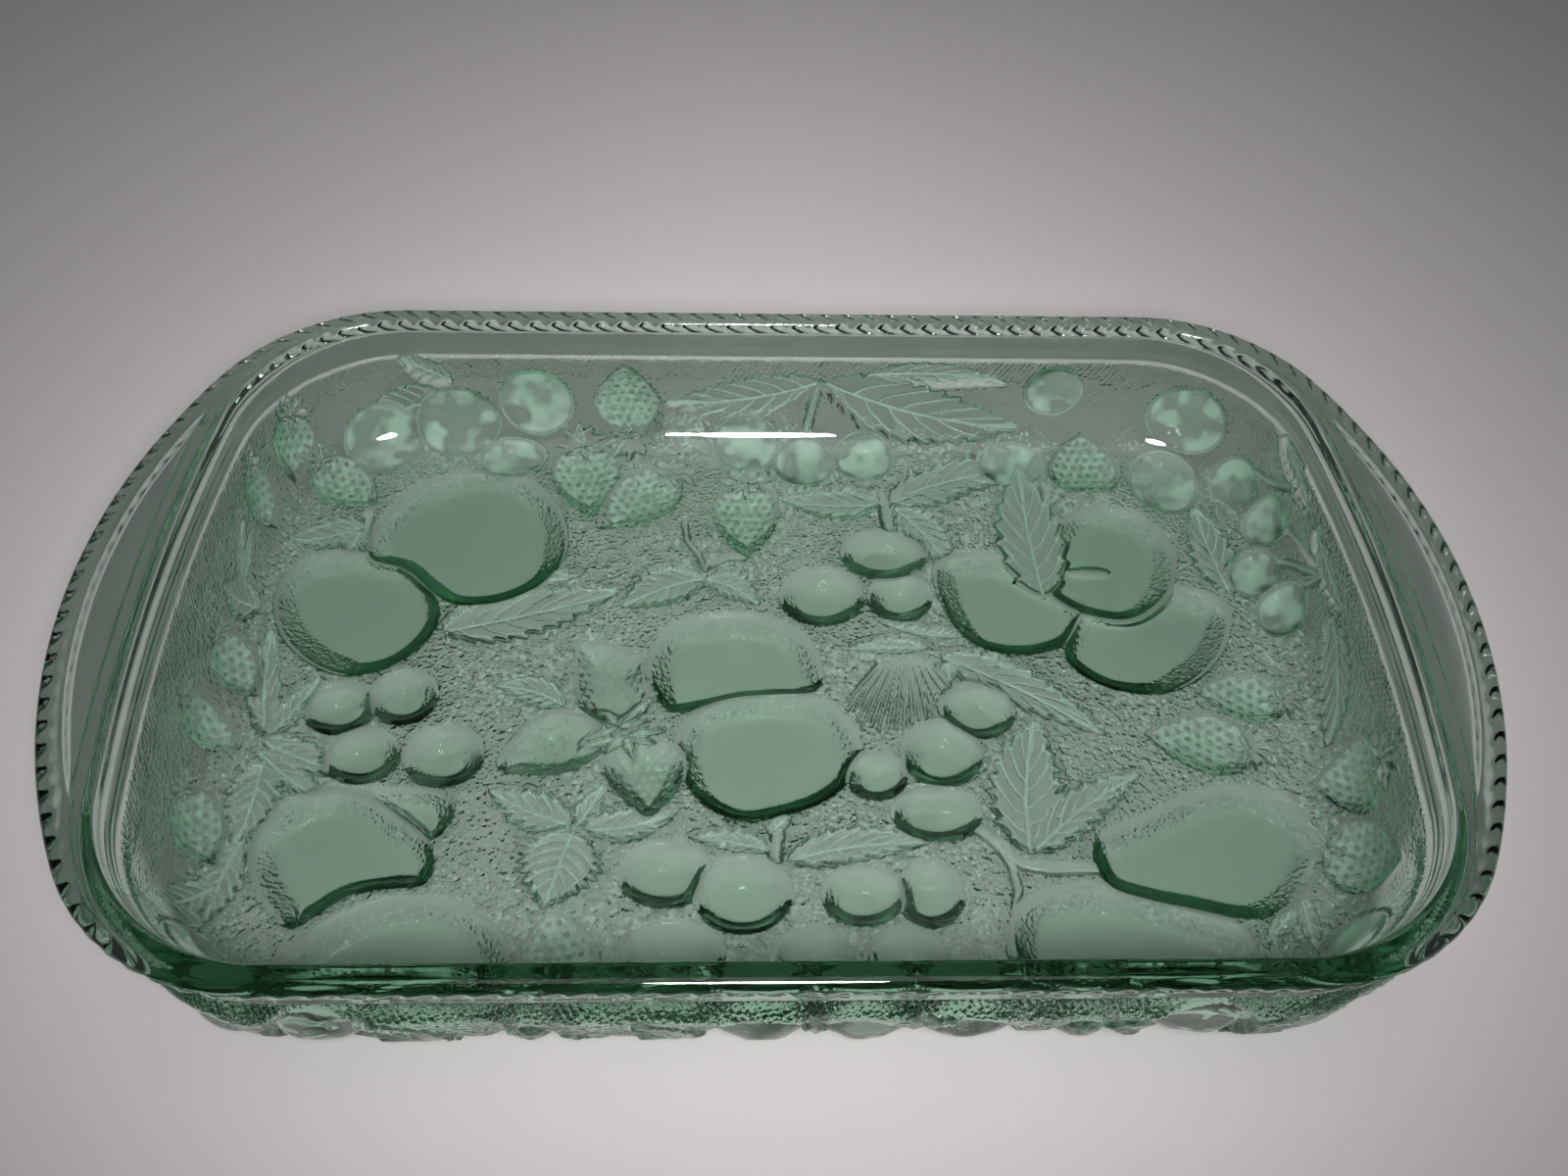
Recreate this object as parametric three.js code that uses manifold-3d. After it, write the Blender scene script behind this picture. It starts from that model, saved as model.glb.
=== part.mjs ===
// Pressed-glass baking dish: one casting with a drafted well, a flat rim, two solid end handles
// and fruit standing out of the underside, on whose flat faces the dish rests.
import * as THREE from 'three';
import { ParametricGeometry } from 'three/addons/geometries/ParametricGeometry.js';
import { mergeVertices } from 'three/addons/utils/BufferGeometryUtils.js';
import Module from 'manifold-3d';

// Driving dimensions, in millimetres. X runs from handle to handle, Z up from the table.
const LENGTH = 381;
const WIDTH = 225;
const HEIGHT = 55;
const EDGE_CORNER = 60;       // plan radius of the outer edge at the four corners
const EDGE_BOW = 166;         // plan radius of each handle's outer edge
const WELL_LENGTH = 334;      // at the rim
const WELL_WIDTH = 211;
const WELL_CORNER = 48;
const WELL_BOW = 500;         // the well's ends bow out slightly
const RELIEF = 5;             // fruit height below the ground of the underside
const FLOOR = 5;              // glass between the well and that ground
const WELL_FILLET = 14;
const DRAFT = THREE.MathUtils.degToRad(8);

// The flange around the rim. Each station is a distance outward from the well's edge, on the long
// sides and at the middle of the handles, and a depth below the top face.
const LIP_ROUND = 1.5;
const PANEL_SINK = 1.8;       // the handle's panel lies below the lip
const BORDER_SINK = 0.8;      // and its border is a little below it too
const BEAD = 6.3;             // height of the edge bead
const FLANGE_TOP = [
  { side: LIP_ROUND, handle: LIP_ROUND, drop: 0, sink: 0 },
  { side: 3.5, handle: 5, drop: 0, sink: 0 },
  { side: 4.5, handle: 8, drop: 0, sink: PANEL_SINK },
  { side: 4.9, handle: 16.5, drop: 0, sink: PANEL_SINK },
  { side: 5.4, handle: 17.5, drop: 0, sink: BORDER_SINK },
  { side: 6, handle: 22.3, drop: 0, sink: BORDER_SINK },
];
const FLANGE_EDGE = [
  { side: 7, handle: 23.5, drop: 1.4, sink: BORDER_SINK },
  { side: 7, handle: 23.5, drop: 3.6, sink: BORDER_SINK },
  { side: 5.8, handle: 22, drop: BEAD, sink: 0 },
  { side: 5, handle: 7, drop: BEAD, sink: 0 },
  { side: 3.2, handle: 3.8, drop: 9, sink: 0 },
];

// Facets along a quarter of the outline, and around each fillet.
const END_STEPS = 5;
const CORNER_STEPS = 6;
const SIDE_STEPS = 3;
const FILLET_STEPS = 4;
const QUARTER_STEPS = END_STEPS + CORNER_STEPS + SIDE_STEPS;

// Heights and offsets that follow from those.
const wellFloor = RELIEF + FLOOR;
const filletTurn = Math.PI / 2 - DRAFT;
const outerFillet = WELL_FILLET + FLOOR;
const filletCentre = wellFloor + WELL_FILLET;
const filletTop = filletCentre - WELL_FILLET * Math.cos(filletTurn);
const wallRun = WELL_FILLET * Math.sin(filletTurn) + (HEIGHT - filletTop) * Math.tan(DRAFT);
const SIDE_FLANGE = (WIDTH - WELL_WIDTH) / 2;
const HANDLE_FLANGE = (LENGTH - WELL_LENGTH) / 2;

const edge = { a: LENGTH / 2, b: WIDTH / 2, corner: EDGE_CORNER, bow: EDGE_BOW };

// The well's outline at a distance outside the edge of its flat floor.
function wellOutline(out) {
  const inset = wallRun - out;
  return {
    a: WELL_LENGTH / 2 - inset,
    b: WELL_WIDTH / 2 - inset,
    corner: WELL_CORNER - inset,
    bow: WELL_BOW - inset,
  };
}

// A point on a quarter of an outline, from the middle of an end (step 0) round to the middle of a
// side. The end is an arc, the corner a tighter arc tangent to it and to the straight side.
function quarterPoint({ a, b, corner, bow }, step) {
  const rise = b - corner;
  const reach = Math.sqrt((bow - corner) ** 2 - rise ** 2);
  const centreX = a - bow + reach;
  const endAngle = Math.atan2(rise, reach);
  if (step <= END_STEPS) {
    const angle = (endAngle * step) / END_STEPS;
    return new THREE.Vector2(a - bow + bow * Math.cos(angle), bow * Math.sin(angle));
  }
  if (step <= END_STEPS + CORNER_STEPS) {
    const along = (step - END_STEPS) / CORNER_STEPS;
    const angle = endAngle + (Math.PI / 2 - endAngle) * along;
    return new THREE.Vector2(centreX + corner * Math.cos(angle), rise + corner * Math.sin(angle));
  }
  return new THREE.Vector2((centreX * (QUARTER_STEPS - step)) / SIDE_STEPS, b);
}

// The whole outline, counted in steps from the middle of the +X end, anticlockwise.
function outlinePoint(outline, step) {
  const quarter = Math.floor(step / QUARTER_STEPS) % 4;
  const within = step % QUARTER_STEPS;
  const mirrored = quarter % 2 === 1;
  const point = quarterPoint(outline, mirrored ? QUARTER_STEPS - within : within);
  if (quarter === 1 || quarter === 2) point.x *= -1;
  if (quarter >= 2) point.y *= -1;
  return point;
}

// The section through floor, wall and flange, as rings from the middle of the well to the middle
// of the underside. Each ring gives its point at a step of the outline.
function wallRing(out, z) {
  const outline = wellOutline(out);
  return (step, target) => {
    const point = outlinePoint(outline, step);
    target.set(point.x, point.y, z);
  };
}

function flangeRing({ side, handle, drop, sink }) {
  const rim = wellOutline(wallRun);
  return (step, target) => {
    const inner = outlinePoint(rim, step);
    const outer = outlinePoint(edge, step);
    const width = inner.distanceTo(outer);
    const widening = (width - SIDE_FLANGE) / (HANDLE_FLANGE - SIDE_FLANGE);
    const reach = THREE.MathUtils.lerp(side, handle, widening) / width;
    const sunk = sink * THREE.MathUtils.smoothstep(widening, 0.1, 0.5);
    inner.lerp(outer, reach);
    target.set(inner.x, inner.y, HEIGHT - drop - sunk);
  };
}

function filletRings(radius) {
  const rings = [];
  for (let i = 0; i <= FILLET_STEPS; i += 1) {
    const angle = (filletTurn * i) / FILLET_STEPS;
    rings.push(wallRing(radius * Math.sin(angle), filletCentre - radius * Math.cos(angle)));
  }
  return rings;
}

const centreRing = (z) => (step, target) => target.set(0, 0, z);

function dishRings() {
  const lipRun = wallRun - LIP_ROUND * Math.tan(DRAFT);
  return [
    centreRing(wellFloor),
    ...filletRings(WELL_FILLET),
    wallRing(lipRun, HEIGHT - LIP_ROUND),
    ...FLANGE_TOP.map(flangeRing),
    ...FLANGE_EDGE.map(flangeRing),
    ...filletRings(outerFillet).reverse(),
    centreRing(RELIEF),
  ];
}

// Keeps only positions, joins equal ones and drops the slivers where a ring has shrunk to a point.
function closedGeometry(geometry) {
  const plain = new THREE.BufferGeometry();
  plain.setAttribute('position', geometry.getAttribute('position'));
  plain.setIndex(geometry.getIndex());
  const merged = mergeVertices(plain, 1e-3);
  const index = merged.getIndex().array;
  const kept = [];
  for (let i = 0; i < index.length; i += 3) {
    const [p, q, r] = [index[i], index[i + 1], index[i + 2]];
    if (p !== q && q !== r && r !== p) kept.push(p, q, r);
  }
  merged.setIndex(kept);
  return merged;
}

// The rings joined into one closed skin. It runs round the outline clockwise, so its faces point out.
function dishGeometry() {
  const rings = dishRings();
  const steps = 4 * QUARTER_STEPS;
  const spans = rings.length - 1;
  const surface = (u, v, target) => {
    const step = Math.round((1 - u) * steps) % steps;
    rings[Math.round(v * spans)](step, target);
  };
  return closedGeometry(new ParametricGeometry(surface, steps, spans));
}

// The fruit of the underside: centre, half lengths and tilt in degrees.
const FRUIT_STEPS = 9;
const FRUIT_ROUND = 1.4;
const FRUIT_TOP = wellFloor - 1;
const FRUITS = {
  peaches: [[-98, 58, 31, 28, 0], [-129, 26, 27, 23, -35], [107, 48, 23, 24, 0],
    [74, 31, 24, 21, -15], [116, 17, 28, 20, 10], [-12, 11, 26, 17, 0], [-3, -24, 27, 21, 0]],
  plums: [[-119, -54, 25, 19, 0], [-99, -82, 30, 15, 0]],
  pears: [[128, -56, 21, 19, 10], [104, -58, 19, 11, 12], [94, -82, 34, 15, 0]],
  strawberries: [[-50, 3, 10, 13, 0], [-65, -20, 14, 10, 0], [-39, -33, 12, 11, 0],
    [139, -4, 12, 8, -20], [123, -20, 15, 10, -10], [-62, 79, 11, 12, 0], [-9, 66, 11, 14, 0]],
  grapes: [[-127, -8, 10, 9, 0], [-109, -4, 10, 9, 0], [-118, -24, 11, 9, 0],
    [-95, -24, 11, 10, 0], [-31, -61, 13, 10, 0], [-10, -67, 13, 11, 0], [22, -68, 11, 9, 0],
    [39, -67, 9, 10, 0], [14, 33, 13, 11, 0], [39, 33, 10, 9, 0], [35, 51, 14, 10, 0]],
  cherries: [[58, -9, 11, 10, 0], [47, -24, 12, 11, 0], [44, -43, 13, 9, 0]],
};

function fruitGeometry([x, y, halfLength, halfWidth, tilt]) {
  const shape = new THREE.Shape();
  const angle = THREE.MathUtils.degToRad(tilt);
  shape.absellipse(x, y, halfLength, halfWidth, 0, 2 * Math.PI, false, angle);
  const geometry = new THREE.ExtrudeGeometry(shape, {
    depth: FRUIT_TOP - 2 * FRUIT_ROUND,
    bevelThickness: FRUIT_ROUND,
    bevelSize: FRUIT_ROUND,
    bevelOffset: -FRUIT_ROUND,
    bevelSegments: 1,
    curveSegments: FRUIT_STEPS,
  });
  return closedGeometry(geometry.translate(0, 0, FRUIT_ROUND));
}

const wasm = await Module();
wasm.setup();

function solid(geometry) {
  const mesh = new wasm.Mesh({
    numProp: 3,
    vertProperties: new Float32Array(geometry.getAttribute('position').array),
    triVerts: new Uint32Array(geometry.getIndex().array),
  });
  return new wasm.Manifold(mesh);
}

function geometryOf(manifold) {
  const { vertProperties, triVerts } = manifold.getMesh();
  const geometry = new THREE.BufferGeometry();
  geometry.setAttribute('position', new THREE.BufferAttribute(vertProperties, 3));
  geometry.setIndex(new THREE.BufferAttribute(triVerts, 1));
  geometry.computeVertexNormals();
  return geometry;
}

const dish = Object.values(FRUITS).flat().reduce(
  (body, fruit) => body.add(solid(fruitGeometry(fruit))),
  solid(dishGeometry()),
);

const greenGlass = new THREE.MeshStandardMaterial({
  name: 'green_glass',
  color: new THREE.Color().setRGB(0.47, 0.6, 0.53, THREE.SRGBColorSpace),
  roughness: 0.08,
  metalness: 0,
  transparent: true,
  opacity: 0.45,
});

const object = new THREE.Group();
const glassDish = new THREE.Mesh(geometryOf(dish), greenGlass);
glassDish.name = 'glass_dish';
object.add(glassDish);

export default object;
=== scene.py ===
"""Looks of the pressed-glass fruit dish: one piece of clear green glass, seen on a pale floor.

The dish is a single closed skin. It is a stack of rings that runs from the middle of the well, up
the smooth inside wall, over the rim, round the rope bead, down the outside wall and in along the
underside. The fruit relief is a height on the outside of that skin. It is drawn on a flat plan of
the outside, in which the walls are folded down round the floor. Lengths are in millimetres until
make_piece turns them into metres.
"""
import math

import bpy
import numpy as np
from mathutils import Matrix, Vector


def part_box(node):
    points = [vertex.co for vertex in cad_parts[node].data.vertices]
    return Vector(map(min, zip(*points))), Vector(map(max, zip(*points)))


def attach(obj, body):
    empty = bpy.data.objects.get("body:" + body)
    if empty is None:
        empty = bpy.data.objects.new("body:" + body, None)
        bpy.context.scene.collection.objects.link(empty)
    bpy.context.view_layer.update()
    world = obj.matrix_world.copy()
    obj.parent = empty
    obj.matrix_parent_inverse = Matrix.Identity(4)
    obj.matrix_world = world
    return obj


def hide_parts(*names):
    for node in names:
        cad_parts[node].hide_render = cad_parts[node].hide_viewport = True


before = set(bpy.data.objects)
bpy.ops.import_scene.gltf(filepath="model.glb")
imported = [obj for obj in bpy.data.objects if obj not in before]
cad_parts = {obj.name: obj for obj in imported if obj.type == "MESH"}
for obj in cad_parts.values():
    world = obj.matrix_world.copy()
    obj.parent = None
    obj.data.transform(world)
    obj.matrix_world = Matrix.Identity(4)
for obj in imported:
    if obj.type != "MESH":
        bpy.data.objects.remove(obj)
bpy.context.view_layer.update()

MM = 0.001
NODE = "glass_dish"

# The CAD's outer size, and the shape values that part.mjs gives the dish.
HALF_LENGTH, HALF_WIDTH, HEIGHT = (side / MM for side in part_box(NODE)[1])
EDGE_CORNER, EDGE_BOW = 60, 166
WELL_HALF_LENGTH, WELL_HALF_WIDTH = 167, 105.5
WELL_CORNER, WELL_BOW = 48, 500
RELIEF, FLOOR = 5, 5
CLEAR = 0.1  # the fruit stops this far above the table it stands on
DEEPEST_CUT = 0.45
WELL_FILLET = 14
DRAFT = math.radians(8)
LIP_ROUND = 1.5
PANEL_SINK, BORDER_SINK = 1.8, 0.8

TURN = math.pi / 2 - DRAFT
GROUND_FILLET = WELL_FILLET + FLOOR
WELL_FLOOR = RELIEF + FLOOR
FILLET_CENTRE = WELL_FLOOR + WELL_FILLET
WELL_FILLET_TOP = FILLET_CENTRE - WELL_FILLET * math.cos(TURN)
WALL_RUN = WELL_FILLET * math.sin(TURN) + (HEIGHT - WELL_FILLET_TOP) * math.tan(DRAFT)
FILLET_ARC = GROUND_FILLET * TURN
SIDE_FLANGE = HALF_WIDTH - WELL_HALF_WIDTH
HANDLE_FLANGE = HALF_LENGTH - WELL_HALF_LENGTH

# Sampling of the skin.
QUARTER_STEPS = (104, 138, 206)
RELIEF_STEP = 0.55


# ---------------------------------------------------------------- outlines

def smooth(low, high, value):
    """0 up to low, 1 from high on, and an even curve between. low may be the greater."""
    share = np.clip((np.asarray(value, float) - low) / (high - low), 0, 1)
    return share * share * (3 - 2 * share)


def mix(first, second, share):
    return first + (second - first) * share


class Outline:
    """A rounded oblong with bowed ends and straight sides, whose arcs meet without a corner."""

    def __init__(self, a, b, corner, bow):
        self.a, self.b, self.corner, self.bow = a, b, corner, bow
        self.rise = b - corner
        self.reach = math.sqrt((bow - corner) ** 2 - self.rise**2)
        self.centre_x = a - bow + self.reach
        self.end_angle = math.atan2(self.rise, self.reach)

    def loop(self):
        """Points and outward normals, anticlockwise from the middle of the +X end."""
        end, corner, side = QUARTER_STEPS
        angles = np.concatenate([
            np.linspace(0, self.end_angle, end, endpoint=False),
            np.linspace(self.end_angle, math.pi / 2, corner, endpoint=False),
            np.full(side + 1, math.pi / 2),
        ])
        normals = np.stack([np.cos(angles), np.sin(angles)], 1)
        points = normals * self.corner + [self.centre_x, self.rise]
        points[:end] = normals[:end] * self.bow + [self.a - self.bow, 0]
        points[end + corner:] = np.stack(
            [np.linspace(self.centre_x, 0, side + 1), np.full(side + 1, self.b)], 1)
        return self._all_round(points), self._all_round(normals)

    @staticmethod
    def _all_round(quarter):
        back = quarter[:0:-1]
        return np.concatenate(
            [quarter[:-1], back * [-1, 1], quarter[:-1] * [-1, -1], back * [1, -1]])

    def along(self, x, y, offset):
        """How far each point lies round the parallel line offset outside, clockwise from +Y."""
        corner, bow = self.corner + offset, self.bow + offset
        corner_turn = math.pi / 2 - self.end_angle
        quarter = self.centre_x + corner * corner_turn + bow * self.end_angle
        over, up = np.abs(x) - self.centre_x, np.abs(y) - self.rise
        corner_angle = np.clip(np.arctan2(up, over), self.end_angle, math.pi / 2)
        end_angle = np.clip(np.arctan2(np.abs(y), np.abs(x) - self.a + self.bow), 0, self.end_angle)
        share = np.minimum(np.abs(x), self.centre_x)
        share = share + corner * (math.pi / 2 - corner_angle) * (over > 0)
        share = share + bow * (self.end_angle - end_angle) * (over > 0)
        half = np.where(y >= 0, share, 2 * quarter - share)
        return np.where(x >= 0, half, -half)

    def distance(self, x, y):
        """How far outside the outline each point lies; negative inside."""
        x, y = np.abs(x), np.abs(y)
        to_corner = np.hypot(x - self.centre_x, y - self.rise) - self.corner
        to_end = np.hypot(x - self.a + self.bow, y) - self.bow
        to_side = y - self.b
        on_end = np.arctan2(y, x - self.a + self.bow) < self.end_angle
        near_middle = np.where(on_end, np.maximum(to_end, to_side), to_side)
        return np.where(x < self.centre_x, near_middle, np.where(on_end, to_end, to_corner))


floor_line = Outline(WELL_HALF_LENGTH - WALL_RUN, WELL_HALF_WIDTH - WALL_RUN,
                     WELL_CORNER - WALL_RUN, WELL_BOW - WALL_RUN)
rim_line = Outline(WELL_HALF_LENGTH, WELL_HALF_WIDTH, WELL_CORNER, WELL_BOW)
edge_line = Outline(HALF_LENGTH, HALF_WIDTH, EDGE_CORNER, EDGE_BOW)


# ---------------------------------------------------------------- noise

LATTICE = 256


def lattice(seed):
    """A square table of random numbers from 0 to 1."""
    return np.random.default_rng(seed).random((LATTICE, LATTICE))


def value_noise(x, y, size, seed):
    """Smooth noise from 0 to 1 with spots of the given size."""
    table = lattice(seed)
    column, row = x / size, y / size
    i, j = np.floor(column).astype(int), np.floor(row).astype(int)
    s, t = smooth(0, 1, column - i), smooth(0, 1, row - j)
    i0, j0, i1, j1 = i % LATTICE, j % LATTICE, (i + 1) % LATTICE, (j + 1) % LATTICE
    low = mix(table[i0, j0], table[i1, j0], s)
    high = mix(table[i0, j1], table[i1, j1], s)
    return mix(low, high, t)


def pebbles(x, y, size_x, size_y, seed):
    """1 in the middle of each of many close, uneven spots, falling to 0 between them."""
    shift_x, shift_y = lattice(seed), lattice(seed + 1)
    column, row = x / size_x, y / size_y
    i, j = np.floor(column).astype(int), np.floor(row).astype(int)
    nearest = np.full(np.shape(x), 9.0)
    for di in (-1, 0, 1):
        for dj in (-1, 0, 1):
            a, b = (i + di) % LATTICE, (j + dj) % LATTICE
            gap_x = column - (i + di + shift_x[a, b])
            gap_y = row - (j + dj + shift_y[a, b])
            nearest = np.minimum(nearest, gap_x**2 + gap_y**2)
    return np.clip(1 - nearest / 0.7, 0, 1)


# ---------------------------------------------------------------- drawn shapes

def closed_curve(points, steps=6):
    """A smooth closed curve through given points."""
    p = np.asarray(points, float)
    before, after, later = np.roll(p, 1, 0), np.roll(p, -1, 0), np.roll(p, -2, 0)
    curve = []
    for t in np.arange(steps) / steps:
        curve.append(0.5 * (2 * p + (after - before) * t
                            + (2 * before - 5 * p + 4 * after - later) * t**2
                            + (3 * p - before - 3 * after + later) * t**3))
    return np.stack(curve, 1).reshape(-1, 2)


def turned(points, centre, degrees):
    """Points turned about the origin and then moved to a centre."""
    angle = math.radians(degrees)
    c, s = math.cos(angle), math.sin(angle)
    return np.asarray(points) @ np.array([[c, s], [-s, c]]) + centre


def oval(x, y, half_length, half_width, tilt):
    angle = np.linspace(0, 2 * math.pi, 48, endpoint=False)
    points = np.stack([np.cos(angle) * half_length, np.sin(angle) * half_width], 1)
    return turned(points, (x, y), tilt)


BERRY_SIDE = [(-0.47, 0.12), (-0.44, 0.3), (-0.3, 0.45), (-0.1, 0.5), (0.12, 0.43), (0.3, 0.28),
              (0.44, 0.12)]


def berry_outline(x, y, length, width, tip):
    """A strawberry's outline. tip is the direction its point faces, in degrees."""
    side = np.array(BERRY_SIDE) * [length, width]
    tip_point = np.array([[0.5 * length, 0]])
    outline = np.concatenate([side, tip_point, side[::-1] * [1, -1]])
    return turned(closed_curve(outline, 4), (x, y), tip)


def segment_gap(x, y, line):
    """Distance from each point to a line through several points, the share of the line where the
    nearest spot lies, and the step from that spot to the point."""
    best, along_best, run = np.full(x.shape, 1e9), np.zeros(x.shape), 0.0
    step = np.zeros((2,) + x.shape)
    for (x0, y0), (x1, y1) in zip(line[:-1], line[1:]):
        dx, dy = x1 - x0, y1 - y0
        length = math.hypot(dx, dy) or 1e-9
        along = np.clip(((x - x0) * dx + (y - y0) * dy) / length**2, 0, 1)
        step_x, step_y = x - x0 - along * dx, y - y0 - along * dy
        gap = np.hypot(step_x, step_y)
        nearer = gap < best
        along_best[nearer] = run + along[nearer] * length
        step[0][nearer], step[1][nearer] = step_x[nearer], step_y[nearer]
        best = np.minimum(best, gap)
        run += length
    return best, along_best / run, step


def depth_inside(x, y, outline):
    """How far inside a closed outline each point lies, negative outside, and the outward direction
    of the nearest part of the outline."""
    gap, _, step = segment_gap(x, y, np.concatenate([outline, outline[:1]]))
    inside = np.zeros(x.shape, bool)
    for (x0, y0), (x1, y1) in zip(outline, np.roll(outline, -1, 0)):
        if y0 != y1:
            inside ^= ((y0 > y) != (y1 > y)) & (x < (x1 - x0) * (y - y0) / (y1 - y0) + x0)
    outward = np.where(inside, -1, 1) * step / np.maximum(gap, 1e-6)
    return np.where(inside, gap, -gap), outward


# Heights of the relief above the ground. It is bolder on the front wall, which the plan has below
# FRONT.
FRONT = -90
LEAF_HEIGHT, FRONT_LEAF_HEIGHT = 2.3, 4.4
CHERRY_HEIGHT, FRONT_CHERRY_HEIGHT = 2.6, 4.5
GRAPE_HEIGHT, BERRY_HEIGHT, FLAT_BERRY_HEIGHT = 4.9, 4.6, 5
STEM_HEIGHT, CAP_LEVEL, SEPAL_LEVEL = 1.8, 4.6, 5.2


class Relief:
    """The height of the outside of the glass above its ground, on the folded-down plan."""

    MARGIN = 4.0      # how far past its outline a shape may reach
    SHOULDER = 6.2    # width of the rounding along a fruit's near side
    BEHIND = 0.45     # share of what lies behind a fruit that still shows through its edge
    EDGE_STEP = 0.8   # the least height just inside a fruit's edge

    def __init__(self, x, y):
        self.x, self.y = x, y
        self.height = np.zeros(x.shape)
        self.grain = np.ones(x.shape)
        # Painted highlight: how much whiter the glass is made at each point.
        self.painted_highlight = np.zeros(x.shape)

    def near(self, outline):
        """The points of the plan that a shape with this outline can touch."""
        low, high = np.min(outline, 0) - self.MARGIN, np.max(outline, 0) + self.MARGIN
        return ((self.x > low[0]) & (self.x < high[0]) & (self.y > low[1]) & (self.y < high[1]))

    def fruit(self, outline, height, dome=0.0, stipple=1.0, soft=100):
        """A fruit with a rounded shoulder, in front of what is there already.

        The shoulder is gentle and stippled on the side that soft points to, in degrees. A dome
        of 1 would carry the rounding on to the middle.
        """
        at = self.near(outline)
        x, y, old = self.x[at], self.y[at], self.height[at]
        depth, outward = depth_inside(x, y, outline)
        soft = math.radians(soft)
        facing = outward[0] * math.cos(soft) + outward[1] * math.sin(soft)
        upper = smooth(-0.8, 0.2, facing)
        deepest = max(float(depth.max()), 1)
        steep, gentle = self.SHOULDER, 1.5 * self.SHOULDER
        wide = mix(min(steep, 0.65 * deepest), min(gentle, 0.85 * deepest), upper)
        wide = mix(wide, deepest, dome)
        rise = (depth + np.sqrt(depth**2 + 0.06)) / 2
        share = np.clip(rise / wide, 0, 1)
        bulge = (1 - (1 - share) ** mix(1.6, 1.35, upper)) ** mix(0.8, 1.0, upper)
        new = height * mix(bulge, (1 - (1 - share) ** 2.1) ** 0.9, dome)
        edge = smooth(0.1, 0.4, share) * smooth(0.98, 0.6, share) * mix(0.15, 1, upper)
        spots = pebbles(x, y, 1.6, 1.6, 31) * mix(0.4, 1, value_noise(x, y, 9, 32))
        new = new - 0.3 * stipple * edge * spots
        inside = np.maximum(new, self.BEHIND * old * np.exp(-((depth / 2) ** 2)))
        outside = old * (1 - (1 - self.BEHIND) * np.exp(-((depth / 0.9) ** 2)))
        outside = mix(outside, np.maximum(outside, new), smooth(-0.7, -0.1, depth))
        inside = np.maximum(inside, self.EDGE_STEP * smooth(-0.4, 0.3, depth))
        self.height[at] = np.where(depth > 0, inside, outside)
        self.grain[at] *= np.where(depth > 0, 0.8 * stipple * edge * (1 - dome), 1)
        # Painted highlight: whiter specks on the soft, stippled shoulder.
        painted_highlight = 0.4 * stipple * edge * upper * spots
        self.painted_highlight[at] = np.where(depth > 0, painted_highlight, self.painted_highlight[at])
        return at, depth

    def cherry(self, x, y, half_length, half_width, tilt, height):
        """A fully domed fruit, a little uneven, with a fine line round it."""
        angle = math.radians(tilt)
        over, up = self.x - x, self.y - y
        along = over * math.cos(angle) + up * math.sin(angle)
        across = up * math.cos(angle) - over * math.sin(angle)
        share = np.hypot(along / half_length, across / half_width)
        depth = (1 - share) * min(half_length, half_width)
        waves = value_noise(self.x, self.y, 6, 33) + 0.5 * value_noise(self.x, self.y, 3, 34)
        dome = 0.4 + height * np.clip(1 - share**2, 0, 1)
        dome *= 1 + 0.22 * (waves - 0.75) * smooth(0, 5, depth)
        shaded = self.height * (1 - 0.5 * np.exp(-((np.minimum(depth, 0) / 0.9) ** 2)))
        self.height = mix(shaded, np.maximum(dome, 0.4 * self.height), smooth(-0.4, 0.3, depth))
        self.grain *= np.where(depth > 0, 0, 1)
        # Painted highlight: the dome is made whiter in patches, with a brighter ring just inside
        # its edge.
        pale = smooth(0.3, 2.2, depth) * (0.1 + 0.9 * smooth(0.35, 1.1, waves))
        rim = 0.5 * np.exp(-(((depth - 0.4) / 0.35) ** 2))
        self.painted_highlight = np.where(depth > 0, pale + rim, self.painted_highlight)

    def berry(self, x, y, length, width, tip, height=BERRY_HEIGHT, calyx=True, outline=None):
        """A strawberry with rows of seed pits, and its leaf cap at the blunt end.

        One drawn with an outline is flat in the middle, with pits only near its edge.
        """
        flat = outline is not None
        outline = closed_curve(outline) if flat else berry_outline(x, y, length, width, tip)
        at, depth = self.fruit(outline, height, dome=0 if flat else 0.3, stipple=0.4)
        angle = math.radians(tip)
        along = (self.x[at] - x) * math.cos(angle) + (self.y[at] - y) * math.sin(angle)
        across = (self.y[at] - y) * math.cos(angle) - (self.x[at] - x) * math.sin(angle)
        pitch = 2.6 if flat else 3.1
        row = np.round(along / pitch)
        offset = across / pitch + 0.5 * (row % 2)
        pit = np.hypot(along - row * pitch, (offset - np.round(offset)) * pitch)
        pit_depth = smooth(6, 3, depth) * 0.6 if flat else 0.75
        pit_size = 0.55 if flat else 0.7
        self.height[at] -= pit_depth * np.exp(-((pit / pit_size) ** 2)) * smooth(0.3, 1.4, depth)
        self.grain[at] = np.where(depth > 0, smooth(8, 2, depth) * 0.3, self.grain[at])
        # Painted highlight: whiter flecks between the pits, starting deeper in on the lower side,
        # which is left darker; weaker on flat berries.
        flecks = value_noise(self.x[at], self.y[at], 1.2, 36)
        lower = 4.2 * smooth(0.1, -0.6, (self.y[at] - y) / (12 if flat else width))
        pale = smooth(0.3 + lower, 1.8 + lower, depth)
        pale *= (0.4 + 0.6 * flecks) * smooth(0.4, 1.0, pit)
        pale *= 0.35 if flat else 1
        self.painted_highlight[at] = np.where(depth > 0, np.maximum(pale, self.painted_highlight[at]), self.painted_highlight[at])
        if calyx:
            self.cap(x - 0.46 * length * math.cos(angle), y - 0.46 * length * math.sin(angle),
                     0.42 * width, tip)

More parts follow.
